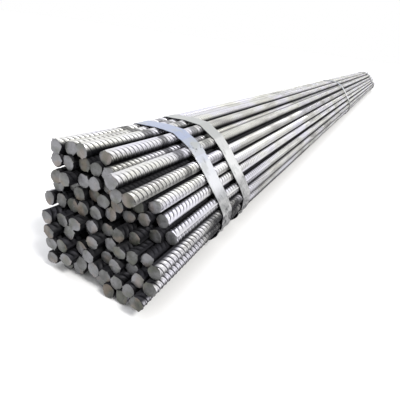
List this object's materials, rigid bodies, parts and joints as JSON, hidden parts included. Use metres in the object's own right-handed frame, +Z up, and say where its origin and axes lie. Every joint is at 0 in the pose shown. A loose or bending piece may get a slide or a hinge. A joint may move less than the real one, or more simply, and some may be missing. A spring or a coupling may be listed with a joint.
{
  "type": "rebar bundle",
  "caption": "Bundle of straight hot-rolled ribbed steel reinforcing bars, tied with flat welded steel straps.",
  "frame": {"origin": "under the middle of the bundle, on the surface it lies on", "axes": "+X along the bars, away from the end with the two near straps that the picture shows; +Z up; the bundle's steeper flank is on +Y"},
  "size_m": [6.1047, 0.2902, 0.2543],
  "materials": {
    "bar_steel": "hot-rolled, dull",
    "strap_steel": "bright, cold-rolled"
  },
  "bodies": {
    "root": {"bar_layer_01": "bar_steel", "bar_layer_02": "bar_steel", "bar_layer_03": "bar_steel", "bar_layer_04": "bar_steel", "bar_layer_05": "bar_steel", "bar_layer_06": "bar_steel", "bar_layer_07": "bar_steel", "bar_layer_08": "bar_steel", "bar_layer_09": "bar_steel", "bar_layer_10": "bar_steel", "strap_front_outer": "strap_steel", "strap_front_inner": "strap_steel", "strap_middle": "strap_steel", "strap_rear_inner": "strap_steel", "strap_rear_outer": "strap_steel"}
  },
  "joints": []
}
